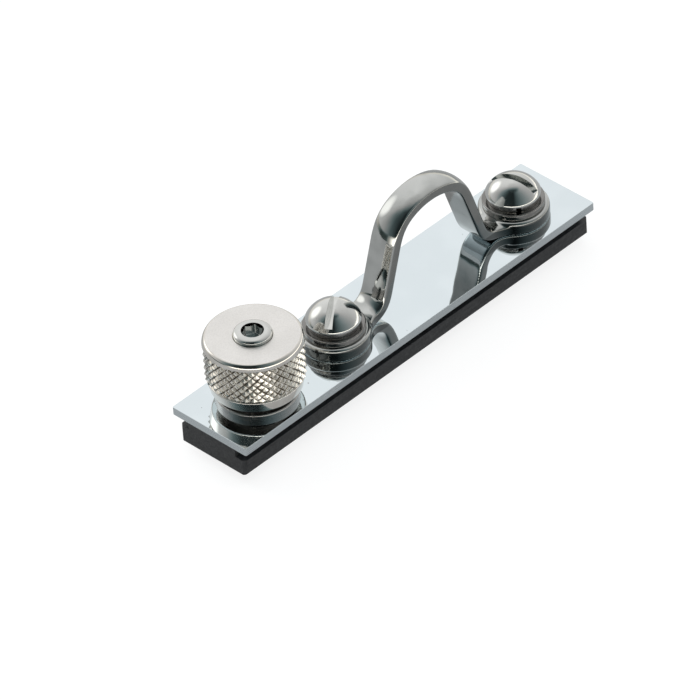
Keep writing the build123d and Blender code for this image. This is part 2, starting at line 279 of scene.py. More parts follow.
def makeTurningGroup():
    # fine rings round an upright axis, as a lathe or a polishing spindle leaves them
    group, given, out = newGroup(
        "lathePolish",
        [("Vector", "NodeSocketVector", None), ("Centre", "NodeSocketVector", None),
         ("Ring Density", "NodeSocketFloat", 9000.0)],
        [("Rings", "NodeSocketFloat"), ("Radius", "NodeSocketFloat")])
    offset = addNode(group, "ShaderNodeVectorMath", {0: given.outputs["Vector"],
                     1: given.outputs["Centre"]}, operation="SUBTRACT")
    flat = addNode(group, "ShaderNodeVectorMath", {0: offset.outputs[0]},
                   operation="MULTIPLY")
    flat.inputs[1].default_value = (1, 1, 0)
    radius = addNode(group, "ShaderNodeVectorMath", {0: flat.outputs[0]}, operation="LENGTH")
    split = addNode(group, "ShaderNodeSeparateXYZ", {0: offset.outputs[0]})
    spread = addNode(group, "ShaderNodeCombineXYZ",
                     {"X": radius.outputs["Value"], "Z": split.outputs["Z"]})
    ring = addNode(group, "ShaderNodeTexNoise",
                   {"Vector": spread.outputs[0], "Scale": given.outputs["Ring Density"]},
                   Detail=2.0, Roughness=0.7)
    group.links.new(ring.outputs["Fac"], out.inputs["Rings"])
    group.links.new(radius.outputs["Value"], out.inputs["Radius"])
    return group


polishGroup = makePolishGroup()
turningGroup = makeTurningGroup()

# the part of a noise's range that tones and roughnesses are drawn from
waveSpan, hairSpan, blotchSpan = (0.35, 0.65), (0.35, 0.75), (0.3, 0.7)
speckRough = 0.3                                  # added where a pinhole speck sits


def newMaterial(name, metallic=0.0):
    material = bpy.data.materials.new(name)
    material.use_nodes = True
    tree = material.node_tree
    shader = tree.nodes["Principled BSDF"]
    shader.inputs["Metallic"].default_value = metallic
    place = addNode(tree, "ShaderNodeTexCoord")
    return material, tree, shader, place.outputs["Object"]


def coat(tree, shader, colour, rough, height=None, strength=1.0, depth=0.0):
    # colour, roughness and, where a height is given, the bumps that it makes
    tree.links.new(colour, shader.inputs["Base Color"])
    tree.links.new(rough, shader.inputs["Roughness"])
    if height:
        bump = addNode(tree, "ShaderNodeBump", {"Height": height}, Strength=strength,
                       Distance=depth)
        tree.links.new(bump.outputs[0], shader.inputs["Normal"])


def makePolishedMetal(name, look):
    # a darker edge colour is shown where the piece's own attribute marks a cut edge; on the
    # lead eye that mark also paints shade on the feet sides and under the arch
    material, tree, shader, place = newMaterial(name, metallic=1.0)
    polish = addNode(tree, "ShaderNodeGroup", {"Vector": place}, node_tree=polishGroup)
    for label in ("Wave Size", "Hairline Size", "Speck Size"):
        polish.inputs[label].default_value = look[label]
    tone = mapRange(tree, polish.outputs["Height"], *waveSpan)
    colour = mixColour(tree, tone, look["shadeColour"], look["colour"])
    edge = None
    if "edgeAndShadeColour" in look:
        edge = addNode(tree, "ShaderNodeAttribute", attribute_name="shearedAndShaded").outputs["Fac"]
        colour = mixColour(tree, edge, colour, look["edgeAndShadeColour"])
    specks = polish.outputs["Specks"]
    spotted = mixColour(tree, mathNode(tree, "MULTIPLY", specks, look["speckStrength"]),
                        colour, look["speckColour"])
    rough = mapRange(tree, polish.outputs["Hairlines"], *hairSpan, *look["roughness"])
    if edge:
        rougher = mathNode(tree, "MULTIPLY", edge, look["edgeRough"])
        rough = mathNode(tree, "ADD", rough, rougher)
    rough = mathNode(tree, "ADD", rough, mathNode(tree, "MULTIPLY", specks, speckRough))
    coat(tree, shader, spotted, rough, polish.outputs["Height"], look["waveStrength"],
         look["waveDepth"])
    return material


def makeTurnedMetal(name, look, centre):
    # an even blasted grain with some of the lathe's rings in it
    material, tree, shader, place = newMaterial(name, metallic=1.0)
    turning = addNode(tree, "ShaderNodeGroup", {"Vector": place}, node_tree=turningGroup,
                      Centre=centre)
    turning.inputs["Ring Density"].default_value = look["ringDensity"]
    polish = addNode(tree, "ShaderNodeGroup", {"Vector": place}, node_tree=polishGroup)
    blast = addNode(tree, "ShaderNodeTexNoise", {"Vector": place}, Scale=look["grainSize"],
                    Detail=4.0, Roughness=0.7)
    grain = mathNode(tree, "ADD", blast.outputs["Fac"],
                     mathNode(tree, "MULTIPLY", turning.outputs["Rings"], look["ringShare"]))
    ringMean = 0.5 * look["ringShare"]
    tone = mapRange(tree, grain, blotchSpan[0] + ringMean, blotchSpan[1] + ringMean)
    colour = mixColour(tree, tone, look["shadeColour"], look["colour"])
    rough = mapRange(tree, polish.outputs["Height"], *blotchSpan, *look["roughness"])
    coat(tree, shader, colour, rough, turning.outputs["Rings"], look["ringStrength"],
         look["ringDepth"])
    return material


def makeKnurledMetal(name, look, centre):
    # dark and rough low between the peaks, as painted shade with some grime; bright metal on
    # top, lightened as a painted highlight; with an uneven limit
    material, tree, shader, place = newMaterial(name, metallic=1.0)
    turning = addNode(tree, "ShaderNodeGroup", {"Vector": place}, node_tree=turningGroup,
                      Centre=centre)
    limitNoise = addNode(tree, "ShaderNodeTexNoise", {"Vector": place}, Scale=look["limitNoiseSize"],
                    Detail=3.0)
    noisyRadius = mathNode(tree, "ADD", turning.outputs["Radius"],
                    mapRange(tree, limitNoise.outputs["Fac"], *blotchSpan,
                             -look["uneven"], look["uneven"]))
    height = mapRange(tree, noisyRadius, look["valley"], look["peak"])
    colour = mixColour(tree, height, look["valleyShadeAndGrime"], look["colour"])
    smooth, rough = look["roughness"]
    coat(tree, shader, colour, mapRange(tree, height, 0.0, 1.0, rough, smooth))
    return material


def makeAcetal(name, look):
    material, tree, shader, place = newMaterial(name)
    stretch = addNode(tree, "ShaderNodeMapping", {"Vector": place},
                      Scale=(look["millStretch"], 1.0, 1.0))
    marks = addNode(tree, "ShaderNodeTexNoise", {"Vector": stretch.outputs[0]},
                    Scale=look["millSize"], Detail=3.0, Roughness=0.6)
    grain = addNode(tree, "ShaderNodeTexNoise", {"Vector": place}, Scale=look["grainSize"],
                    Detail=4.0, Roughness=0.6)
    colour = mixColour(tree, mapRange(tree, grain.outputs["Fac"], *look["dustSpan"]),
                       look["colour"], look["dustColour"])
    rough = mapRange(tree, marks.outputs["Fac"], *blotchSpan, *look["roughness"])
    both = mathNode(tree, "ADD", marks.outputs["Fac"], grain.outputs["Fac"])
    coat(tree, shader, colour, rough, both, look["markStrength"], look["markDepth"])
    return material


plungerAxis = ringCentre("knob")
frontAxis = ringCentre("front_screw")
rearAxis = ringCentre("rear_screw")

mirrorPlate = makePolishedMetal("mirrorPlate", {
    "colour": (0.81, 0.885, 0.925, 1), "shadeColour": (0.78, 0.855, 0.895, 1),
    "edgeAndShadeColour": (0.66, 0.72, 0.75, 1), "edgeRough": 0.26,
    "speckColour": (0.20, 0.21, 0.22, 1), "speckStrength": 0.8,
    "roughness": (0.012, 0.045), "waveStrength": 0.6, "waveDepth": 0.00012,
    "Wave Size": 130.0, "Hairline Size": 2400.0, "Speck Size": 760.0})

# the near-black edge colour is painted shade on the lead eye's feet sides, strap sides and
# arch underside, partly a duller cut finish on the sides
polishedSteel = makePolishedMetal("polishedSteel", {
    "colour": (0.60, 0.615, 0.605, 1), "shadeColour": (0.51, 0.525, 0.515, 1),
    "edgeAndShadeColour": (0.17, 0.174, 0.17, 1), "edgeRough": 0.08,
    "speckColour": (0.25, 0.24, 0.22, 1), "speckStrength": 0.5,
    "roughness": (0.045, 0.11), "waveStrength": 0.7, "waveDepth": 0.00012,
    "Wave Size": 230.0, "Hairline Size": 2000.0, "Speck Size": 700.0})

screwSteel = makePolishedMetal("screwSteel", {
    "colour": (0.735, 0.745, 0.73, 1), "shadeColour": (0.67, 0.68, 0.665, 1),
    "speckColour": (0.25, 0.24, 0.22, 1), "speckStrength": 0.4,
    "roughness": (0.08, 0.15), "waveStrength": 0.4, "waveDepth": 0.00006,
    "Wave Size": 300.0, "Hairline Size": 3000.0, "Speck Size": 800.0})

# a darkened copy of the polished steel: painted shade on the plain washers under the screw
# heads
shadedWasherSteel = makePolishedMetal("shadedWasherSteel", {
    "colour": (0.32, 0.316, 0.308, 1), "shadeColour": (0.25, 0.247, 0.24, 1),
    "speckColour": (0.16, 0.155, 0.15, 1), "speckStrength": 0.5,
    "roughness": (0.10, 0.20), "waveStrength": 0.3, "waveDepth": 0.00006,
    "Wave Size": 300.0, "Hairline Size": 3000.0, "Speck Size": 800.0})

platedKnob = makePolishedMetal("platedKnob", {
    "colour": (0.85, 0.83, 0.79, 1), "shadeColour": (0.78, 0.755, 0.71, 1),
    "speckColour": (0.3, 0.28, 0.25, 1), "speckStrength": 0.3,
    "roughness": (0.08, 0.16), "waveStrength": 0.05, "waveDepth": 0.0003,
    "Wave Size": 300.0, "Hairline Size": 3000.0, "Speck Size": 600.0})

# painted shade with some grime in the valleys, and a painted highlight in the bright peak
# colour
knurledKnob = makeKnurledMetal("knurledKnob", {
    "colour": (0.95, 0.92, 0.86, 1), "valleyShadeAndGrime": (0.13, 0.115, 0.09, 1),
    "roughness": (0.14, 0.36), "valley": 0.01060, "peak": 0.01078, "uneven": 0.00008,
    "limitNoiseSize": 900.0}, plungerAxis)

satinFace = makeTurnedMetal("satinFace", {
    "colour": (0.945, 0.93, 0.91, 1), "shadeColour": (0.86, 0.845, 0.825, 1),
    "roughness": (0.36, 0.46), "ringDensity": 5200.0, "ringStrength": 0.03,
    "ringDepth": 0.00002, "ringShare": 0.15, "grainSize": 3200.0}, plungerAxis)

turnedSteel = makeTurnedMetal("turnedSteel", {
    "colour": (0.50, 0.495, 0.485, 1), "shadeColour": (0.40, 0.395, 0.385, 1),
    "roughness": (0.16, 0.28), "ringDensity": 6500.0, "ringStrength": 0.35,
    "ringDepth": 0.00005, "ringShare": 0.8, "grainSize": 2200.0}, plungerAxis)

springWire = makePolishedMetal("springWire", {
    "colour": (0.52, 0.51, 0.49, 1), "shadeColour": (0.42, 0.41, 0.40, 1),
    "speckColour": (0.2, 0.2, 0.2, 1), "speckStrength": 0.5,
    "roughness": (0.22, 0.38), "waveStrength": 0.2, "waveDepth": 0.0002,
    "Wave Size": 500.0, "Hairline Size": 5000.0, "Speck Size": 600.0})

milledSteel = makePolishedMetal("milledSteel", {
    "colour": (0.42, 0.415, 0.405, 1), "shadeColour": (0.31, 0.305, 0.30, 1),
    "speckColour": (0.14, 0.14, 0.135, 1), "speckStrength": 0.6,
    "roughness": (0.24, 0.42), "waveStrength": 0.2, "waveDepth": 0.0003,
    "Wave Size": 240.0, "Hairline Size": 4200.0, "Speck Size": 400.0})

blackAcetal = makeAcetal("blackAcetal", {
    "colour": (0.022, 0.024, 0.027, 1), "dustColour": (0.045, 0.048, 0.052, 1),
    "roughness": (0.28, 0.55), "millSize": 2600.0, "millStretch": 0.05,
    "grainSize": 1500.0, "dustSpan": (0.35, 0.7), "markStrength": 0.35,
    "markDepth": 0.00008})

print("materials made")


# slide plate: a strip of mirror-polished sheet with crisp edges

def markCutFaces(plate, size):
    # 1 on the upright faces that the saw left satin, 0 on the polished ones
    shearedAndShaded = plate.data.attributes.new("shearedAndShaded", "FLOAT", "FACE")
    for face, mark in zip(plate.data.polygons, shearedAndShaded.data):
        mark.value = 1 if abs(face.normal.z) < size["uprightBelow"] else 0


def makePlate():
    size = {"cornerRadius": 0.0004, "edgeBreak": 0.00028, "screwHole": 0.0064,
            "shankHole": 0.0124, "drillDepth": 0.02, "uprightBelow": 0.3}
    low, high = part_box("slide_plate")
    selectNone()
    bpy.ops.mesh.primitive_cube_add(size=1, location=(low + high) / 2)
    plate = bpy.context.object
    plate.name = plate.data.name = "slidePlate"
    plate.scale = high - low
    applyPlace(plate)
    for axis, width in ((plungerAxis, size["shankHole"]), (frontAxis, size["screwHole"]),
                        (rearAxis, size["screwHole"])):
        bpy.ops.mesh.primitive_cylinder_add(vertices=64, radius=width / 2,
                                            depth=size["drillDepth"],
                                            location=(axis.x, axis.y, low.z))
        cutWith(plate, bpy.context.object)
    makeActive(plate)
    corners = [(x, y) for x in (low.x, high.x) for y in (low.y, high.y)]

    def isCorner(edge):
        ends = [plate.data.vertices[i].co for i in edge.vertices]
        return abs(ends[0].z - ends[1].z) > tiny and any(
            hypot(ends[0].x - x, ends[0].y - y) < tiny for x, y in corners)

    selectParts(plate, edges=isCorner)
    bpy.ops.mesh.bevel(offset=size["cornerRadius"], segments=4)
    bpy.ops.object.mode_set(mode="OBJECT")
    softenEdges(plate, size["edgeBreak"], angle=50)
    finishShading(plate, weight=90)
    markCutFaces(plate, size)
    return plate


# lead eye: one flat strap with round pierced feet, bent up into a high arch

def crownedSection(size, place):
    # the outer face is a shallow arc, the sides are upright and all edges are eased
    half, thick = size["strapWidth"] / 2, size["strapThickness"]
    arc, ease, inner = size["faceArc"], size["outerEase"], size["innerEase"]
    arcCentre = thick / 2 - arc
    easeCentre = arcCentre + sqrt((arc - ease) ** 2 - (half - ease) ** 2)
    lean = degrees(atan2(easeCentre - arcCentre, half - ease))
    steps = size["easeSteps"]
    right = arcPoints((0, arcCentre), arc, arc, 90, lean, size["faceSteps"])
    right += arcPoints((half - ease, easeCentre), ease, ease, lean, 0, steps)[1:]
    right += arcPoints((half - inner, inner - thick / 2), inner, inner, 0, -90, steps)
    left = [(-across, up) for across, up in reversed(right[1:])]
    return [(place[0], place[1] + across, place[2] + up) for across, up in right + left]


def arcReach(arcs, heading):
    # how far a chain of (degrees, radius) arcs runs and climbs, and where it heads then
    run = climb = 0
    for turn, radius in arcs:
        side = 1 if turn > 0 else -1
        ahead = heading + radians(turn)
        run += side * radius * (sin(ahead) - sin(heading))
        climb += side * radius * (cos(heading) - cos(ahead))
        heading = ahead
    return run, climb, heading


def markShearedAndShadedEdges(eye, size, footTop):
    # 1 round the feet, less on the strap's cut sides and on its inside under the arch, 0
    # elsewhere: painted shade, which on the cut sides also stands for a duller sawn finish
    mesh = eye.data
    archCentre = (frontAxis.x + rearAxis.x) / 2, footTop + size["archCentre"]
    shearedAndShaded = mesh.attributes.new("shearedAndShaded", "FLOAT", "POINT")
    for vertex, mark in zip(mesh.vertices, shearedAndShaded.data):
        normal = vertex.normal
        onFoot = vertex.co.z < footTop
        inX, inZ = archCentre[0] - vertex.co.x, archCentre[1] - vertex.co.z
        inwards = (normal.x * inX + normal.z * inZ) / hypot(inX, inZ)
        lean = hypot(normal.x, normal.y) if onFoot else max(abs(normal.y), inwards)
        share = 1 if onFoot else size["sideShare"]
        mark.value = share * min(1, max(0, (lean - size["shadeMarkFrom"]) / size["shadeMarkBlend"]))


def makeLeadEye():
    size = {"shadeMarkFrom": 0.62, "shadeMarkBlend": 0.25, "sideShare": 0.7, "archCentre": 0.010,
            "strapWidth": 0.0072, "strapThickness": 0.0031, "faceArc": 0.0090,
            "outerEase": 0.00042, "innerEase": 0.00055, "faceSteps": 9, "easeSteps": 5,
            "tabSteps": 8, "legSteps": 4,
            "footRadius": 0.0080, "footHole": 0.0032, "footEdge": 0.0007, "footBase": 0.0003,
            "flareRadius": 0.0060, "strapStart": 0.0044, "arcStep": 3.0,
            "footBend": ((9.3, 0.0124), (52.7, 0.00478), (10.0, 0.0106)),
            "shoulder": ((-9.1, 0.0187), (-34.1, 0.00866), (-11.0, 0.0127), (-17.8, 0.0157)),
            "voxel": 0.00021, "smoothTurns": 10, "smoothFactor": 0.5}
    low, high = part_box("lead_eye")
    bottom = low.z
    thick = size["strapThickness"]
    middle = bottom + thick / 2
    span = rearAxis.x - frontAxis.x
    bendRun, bendClimb, leg = arcReach(size["footBend"], 0)
    shoulderRun, shoulderClimb = arcReach(size["shoulder"], leg)[:2]
    legLength = (high.z - low.z - thick - bendClimb - shoulderClimb) / sin(leg)
    tabLength = span / 2 - bendRun - shoulderRun - legLength * cos(leg)

    # flare: half width of the strap at a distance from the foot's middle
    flareSide = size["strapWidth"] / 2 + size["flareRadius"]
    reach = sqrt((size["footRadius"] + size["flareRadius"]) ** 2 - flareSide ** 2)
    touch = reach * size["footRadius"] / (size["footRadius"] + size["flareRadius"])

    def halfWidth(x):
        if x >= reach:
            return size["strapWidth"] / 2
        x = max(x, touch)
        return flareSide - sqrt(size["flareRadius"] ** 2 - (reach - x) ** 2)

    # the section stands upright at the front foot and is carried along the strap
    x, z, heading, width = size["strapStart"], 0.0, 0.0, size["strapWidth"] / 2
    eye = drawOutline("leadEye", crownedSection(size, (frontAxis.x + x, 0, middle)))
    makeActive(eye)
    bpy.ops.object.mode_set(mode="EDIT")
    bpy.ops.mesh.select_mode(type="FACE")
    bpy.ops.mesh.select_all(action="SELECT")

    def widen():
        nonlocal width
        wanted = halfWidth(min(x, span - x))
        bpy.ops.transform.resize(value=(1, wanted / width, 1),
                                 center_override=(frontAxis.x, 0, middle))
        width = wanted

    def runOn(length, steps):
        nonlocal x, z
        for step in range(steps):
            dx, dz = cos(heading) * length / steps, sin(heading) * length / steps
            bpy.ops.mesh.extrude_region_move(TRANSFORM_OT_translate={"value": (dx, 0, dz)})
            x, z = x + dx, z + dz
            widen()

    def bendOn(turn, radius):
        nonlocal x, z, heading
        side = 1 if turn > 0 else -1
        centreX = x - side * radius * sin(heading)
        centreZ = z + side * radius * cos(heading)
        steps = ceil(abs(turn) / size["arcStep"])
        for step in range(steps):
            bpy.ops.mesh.spin(steps=1, angle=radians(turn) / steps, axis=(0, 1, 0),
                              center=(frontAxis.x + centreX, 0, middle + centreZ))
            heading += radians(turn) / steps
            x = centreX + side * radius * sin(heading)
            z = centreZ - side * radius * cos(heading)
            widen()

    widen()
    runOn(tabLength - size["strapStart"], size["tabSteps"])
    for turn, radius in size["footBend"]:
        bendOn(turn, radius)
    runOn(legLength, size["legSteps"])
    for turn, radius in size["shoulder"] + size["shoulder"][::-1]:
        bendOn(turn, radius)
    runOn(legLength, size["legSteps"])
    for turn, radius in size["footBend"][::-1]:
        bendOn(turn, radius)
    runOn(tabLength - size["strapStart"], size["tabSteps"])
    closeMesh(eye)

    # the two round feet, pierced for the screws, are forged in one with the strap
    feet = []
    for axis in (frontAxis, rearAxis):
        top = bottom + thick
        outer, hole = size["footRadius"], size["footHole"]
        edge, base = size["footEdge"], size["footBase"]
        profile = [(hole, top), (outer - edge, top)]
        profile += arcPoints((outer - edge, top - edge), edge, edge, 90, 0, 6)[1:]
        profile += [(outer, bottom + base), (outer - base, bottom), (hole, bottom),
                    (hole, top)]
        feet.append(turnPiece("eyeFoot", (axis.x, axis.y), profile))
    makeActive(eye)
    for foot in feet:
        foot.select_set(True)
    bpy.ops.object.join()
    applyModifier(eye, "REMESH", mode="VOXEL", voxel_size=size["voxel"], adaptivity=0.0,
                  use_smooth_shade=True)
    applyModifier(eye, "SMOOTH", factor=size["smoothFactor"], iterations=size["smoothTurns"])
    makeActive(eye)
    bpy.ops.object.shade_smooth()
    markShearedAndShadedEdges(eye, size, bottom + thick - size["footEdge"])
    return eye


# round-head screws: a high polished dome with a milled slot

def makeScrew(name, node, slotTurn):
    size = {"headRadius": 0.00615, "rim": 0.0003, "headHeight": 0.0041, "shank": 0.00295,
            "tipChamfer": 0.0008, "slotWidth": 0.0017, "slotDepth": 0.0029,
            "slotEdge": 0.00014, "domeSteps": 26, "weld": 0.00002}
    low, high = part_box(node)
    axis = (low + high) / 2
    headBottom = high.z - size["headHeight"]
    rise = size["headHeight"] - size["rim"]
    radius = size["headRadius"]
    sphere = (radius ** 2 + rise ** 2) / (2 * rise)
    opening = asin(radius / sphere)
    profile = []
    for step in range(size["domeSteps"] + 1):
        turn = opening * step / size["domeSteps"]
        profile.append((sphere * sin(turn), high.z - sphere * (1 - cos(turn))))
    shank, tip = size["shank"], size["tipChamfer"]
    profile += [(radius, headBottom), (shank, headBottom), (shank, low.z + tip),
                (shank - tip, low.z), (0, low.z)]
    screw = turnPiece(name, (axis.x, axis.y), profile, steps=128)
    selectNone()
    bpy.ops.mesh.primitive_cube_add(size=1, location=(axis.x, axis.y, high.z),
                                    rotation=(0, 0, radians(slotTurn)))
    cutter = bpy.context.object
    cutter.scale = (4 * radius, size["slotWidth"], 2 * size["slotDepth"])
    cutWith(screw, cutter)
    closeMesh(screw, size["weld"])
    softenEdges(screw, size["slotEdge"], angle=34)
    finishShading(screw, angle=40)
    return screw


# plain washers and split lock washers under the heads

def makeWasher(name, node):
    size = {"hole": 0.0032, "outerEdge": 0.00030}
    low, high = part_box(node)
    axis = (low + high) / 2
    outer = (high.x - low.x) / 2
    edge = size["outerEdge"]
    profile = [(size["hole"], high.z), (outer - edge, high.z)]
    profile += arcPoints((outer - edge, high.z - edge), edge, edge, 90, 0, 5)[1:]
    profile += [(outer, low.z + edge / 2), (outer - edge / 2, low.z), (size["hole"], low.z),
                (size["hole"], high.z)]
    washer = turnPiece(name, (axis.x, axis.y), profile, steps=112)
    finishShading(washer, weight=90)
    return washer


def makeLockWasher(name, node, gapTurn):
    size = {"hole": 0.0032, "outer": 0.0058, "gap": 0.0008, "edge": 0.00018}
    low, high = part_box(node)
    axis = (low + high) / 2
    middle = (size["hole"] + size["outer"]) / 2
    halfGap = asin(size["gap"] / 2 / middle)
    first = radians(gapTurn) + halfGap
    selectNone()
    bpy.ops.mesh.primitive_plane_add(size=1, location=(middle, 0, (low.z + high.z) / 2),
                                     rotation=(pi / 2, 0, 0))
    washer = bpy.context.object
    washer.name = washer.data.name = name
    washer.scale = (size["outer"] - size["hole"], high.z - low.z, 1)
    applyPlace(washer)
    washer.rotation_euler.z = first
    applyPlace(washer)
    washer.location = (axis.x, axis.y, 0)
    applyPlace(washer)
    bpy.ops.object.mode_set(mode="EDIT")
    bpy.ops.mesh.select_all(action="SELECT")
    bpy.ops.mesh.spin(steps=80, angle=-(2 * pi - 2 * halfGap), center=(axis.x, axis.y, 0),
                      axis=(0, 0, 1))
    closeMesh(washer)
    softenEdges(washer, size["edge"], segments=2, angle=40)
    finishShading(washer)
    return washer


# plunger housing, pin and spring

def makeHousing():
    size = {"shank": 0.0060, "flange": 0.00925, "flangeHeight": 0.0015,
            "flangeEdge": 0.0004, "barrel": 0.0065, "barrelEdge": 0.0005,
            "bore": 0.00455, "stemHole": 0.00355, "roof": 0.0018}
    low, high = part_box("plunger_housing")
    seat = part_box("slide_plate")[1].z
    flange, edge = size["flange"], size["flangeEdge"]
    top = seat + size["flangeHeight"]
    profile = [(size["bore"], low.z), (size["shank"], low.z), (size["shank"], seat),
               (flange, seat)]
    profile += arcPoints((flange - edge, top - edge), edge, edge, 0, 90, 5)
    ceiling = high.z - size["roof"]
    profile += [(size["barrel"], top), (size["barrel"], high.z - size["barrelEdge"]),
                (size["barrel"] - size["barrelEdge"], high.z), (size["stemHole"], high.z),
                (size["stemHole"], ceiling), (size["bore"], ceiling), (size["bore"], low.z)]
    housing = turnPiece("plungerHousing", (plungerAxis.x, plungerAxis.y), profile, steps=112)
    finishShading(housing)
    return housing


def makePin():
    size = {"nose": 0.0040, "noseEdge": 0.0008, "body": 0.0045, "stem": 0.0035,
            "tappedHole": 0.00255, "holeDepth": 0.0104, "edge": 0.0001,
            "springPlay": 0.00002}
    low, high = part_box("plunger_pin")
    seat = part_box("slider")[0].z
    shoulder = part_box("plunger_spring")[0].z - size["springPlay"]
    nose, edge = size["nose"], size["noseEdge"]
    profile = [(0, low.z), (nose - edge, low.z)]
    profile += arcPoints((nose - edge, low.z + edge), edge, edge, -90, 0, 6)[1:]
    profile += [(nose, seat), (size["body"], seat), (size["body"], shoulder),
                (size["stem"], shoulder), (size["stem"], high.z), (size["tappedHole"], high.z),
                (size["tappedHole"], high.z - size["holeDepth"]),
                (0, high.z - size["holeDepth"])]
    pin = turnPiece("plungerPin", (plungerAxis.x, plungerAxis.y), profile, steps=80)
    softenEdges(pin, size["edge"], segments=2, angle=40)
    finishShading(pin)
    return pin


def makeSpring():
    size = {"wire": 0.0008, "coilRadius": 0.0040, "turns": 6.5, "stepsPerTurn": 36,
            "squeezed": 0.573}
    low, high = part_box("plunger_spring")
    wire = size["wire"]
    selectNone()
    bpy.ops.mesh.primitive_circle_add(vertices=14, radius=wire / 2, fill_type="NOTHING",
                                      location=(size["coilRadius"], 0, low.z + wire / 2),
                                      rotation=(pi / 2, 0, 0))
    spring = bpy.context.object
    spring.name = spring.data.name = "plungerSpring"
    applyPlace(spring)
    turns = size["turns"]
    steps = int(size["stepsPerTurn"] * turns)
    applyModifier(spring, "SCREW", axis="Z", angle=2 * pi * turns, iterations=1,
                  screw_offset=high.z - low.z - wire, steps=steps, render_steps=steps,
                  use_smooth_shade=True)
    makeActive(spring)
    bpy.ops.object.mode_set(mode="EDIT")
    bpy.ops.mesh.select_all(action="DESELECT")
    bpy.ops.mesh.select_mode(type="EDGE")
    bpy.ops.mesh.select_non_manifold()
    bpy.ops.mesh.edge_face_add()
    bpy.ops.object.mode_set(mode="OBJECT")
    spring.location = (plungerAxis.x, plungerAxis.y, 0)
    applyPlace(spring)
    closeMesh(spring)
    bpy.ops.object.shade_smooth_by_angle(angle=radians(50))
    return spring, size["squeezed"]


# pull knob: turned cap with a satin face, a rounded shoulder, a diamond knurl and a ring

def makeKnob():
    size = {"shoulderWidth": 0.00095, "shoulderHeight": 0.00166, "knurlCount": 38,
            "knurlRows": 9, "knurlHeight": 0.0081, "knurlDepth": 0.0005, "peakFlat": 0.00034,
            "grooveHeight": 0.0006, "grooveDepth": 0.0008, "ringInset": 0.0004,
            "ringTaper": 0.0005, "ringEdge": 0.0003, "bore": 0.0068, "boreEdge": 0.0005,
            "screwWay": 0.0027, "screwHead": 0.0050, "counterbore": 0.0043,
            "mouthEdge": 0.00015, "rimPlay": 0.00005, "bandPlay": 0.0002,
            "levelAbove": 0.99}
    low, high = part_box("knob")
    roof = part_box("plunger_housing")[1].z
    radius = (high.y - low.y) / 2
    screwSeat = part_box("knob_screw")[1].z - size["screwHead"]
    face = radius - size["shoulderWidth"]
    knurlTop = high.z - size["shoulderHeight"]
    knurlBottom = knurlTop - size["knurlHeight"]
    ringTop = knurlBottom - size["grooveHeight"]
    groove = radius - size["grooveDepth"]
    ring = radius - size["ringInset"]
    ringFoot = ring - size["ringTaper"]
    valley = radius - size["knurlDepth"]
    mouth, edge = size["mouthEdge"], size["ringEdge"]
    rows = size["knurlRows"]
    rowHeight = size["knurlHeight"] / rows

    profile = [(size["counterbore"], high.z - mouth), (size["counterbore"] + mouth, high.z)]
    profile += arcPoints((face, knurlTop), size["shoulderWidth"], size["shoulderHeight"],
                         90, 0, 12)
    profile += [(radius, knurlTop - row * rowHeight) for row in range(1, rows + 1)]
    profile += [(groove, knurlBottom), (groove, ringTop)]
    profile += arcPoints((ring - edge, ringTop - edge), edge, edge, 90, 0, 5)
    profile += arcPoints((ringFoot - edge, low.z + edge), edge, edge, 0, -90, 5)
    bore, boreEdge = size["bore"], size["boreEdge"]
    profile += [(bore + boreEdge, low.z), (bore, low.z + boreEdge), (bore, roof),
                (size["screwWay"], roof), (size["screwWay"], screwSeat),
                (size["counterbore"], screwSeat), profile[0]]
    steps = 2 * size["knurlCount"]
    knob = turnPiece("pullKnob", (plungerAxis.x, plungerAxis.y), profile, steps=steps)

    def lattice(co):
        offset = co - plungerAxis
        step = round(atan2(offset.y, offset.x) / (2 * pi / steps))
        row = round((co.z - knurlBottom) / rowHeight)
        return step, row

    def inKnurl(co):
        out = hypot(co.x - plungerAxis.x, co.y - plungerAxis.y)
        return (out > radius - size["rimPlay"]
                and knurlBottom - tiny < co.z < knurlTop + tiny)

    # every second crossing is pressed in, which leaves a pyramid at each other one
    makeActive(knob)
    selectParts(knob, verts=lambda vert: inKnurl(vert.co) and (
        sum(lattice(vert.co)) % 2 == 0))
    shrink = valley / radius
    bpy.ops.transform.resize(value=(shrink, shrink, 1),
                             center_override=(plungerAxis.x, plungerAxis.y, 0))
    bpy.ops.object.mode_set(mode="OBJECT")

    def isBand(face):
        centre = face.center
        out = hypot(centre.x - plungerAxis.x, centre.y - plungerAxis.y)
        return out > valley - size["bandPlay"] and knurlBottom < centre.z < knurlTop

    selectParts(knob, faces=isBand)
    bpy.ops.mesh.quads_convert_to_tris(quad_method="SHORTEST_DIAGONAL")
    bpy.ops.object.mode_set(mode="OBJECT")
    selectParts(knob, verts=lambda vert: inKnurl(vert.co) and (
        knurlBottom + tiny < vert.co.z < knurlTop - tiny))
    bpy.ops.mesh.bevel(offset=size["peakFlat"], segments=2, affect="VERTICES")
    bpy.ops.object.mode_set(mode="OBJECT")
    finishShading(knob, angle=24)
    for material in (platedKnob, satinFace, knurledKnob):
        knob.data.materials.append(material)
    for polygon in knob.data.polygons:
        if polygon.normal.z > size["levelAbove"] and polygon.center.z > high.z - tiny:
            polygon.material_index = 1
        elif isBand(polygon):
            polygon.material_index = 2
    return knob


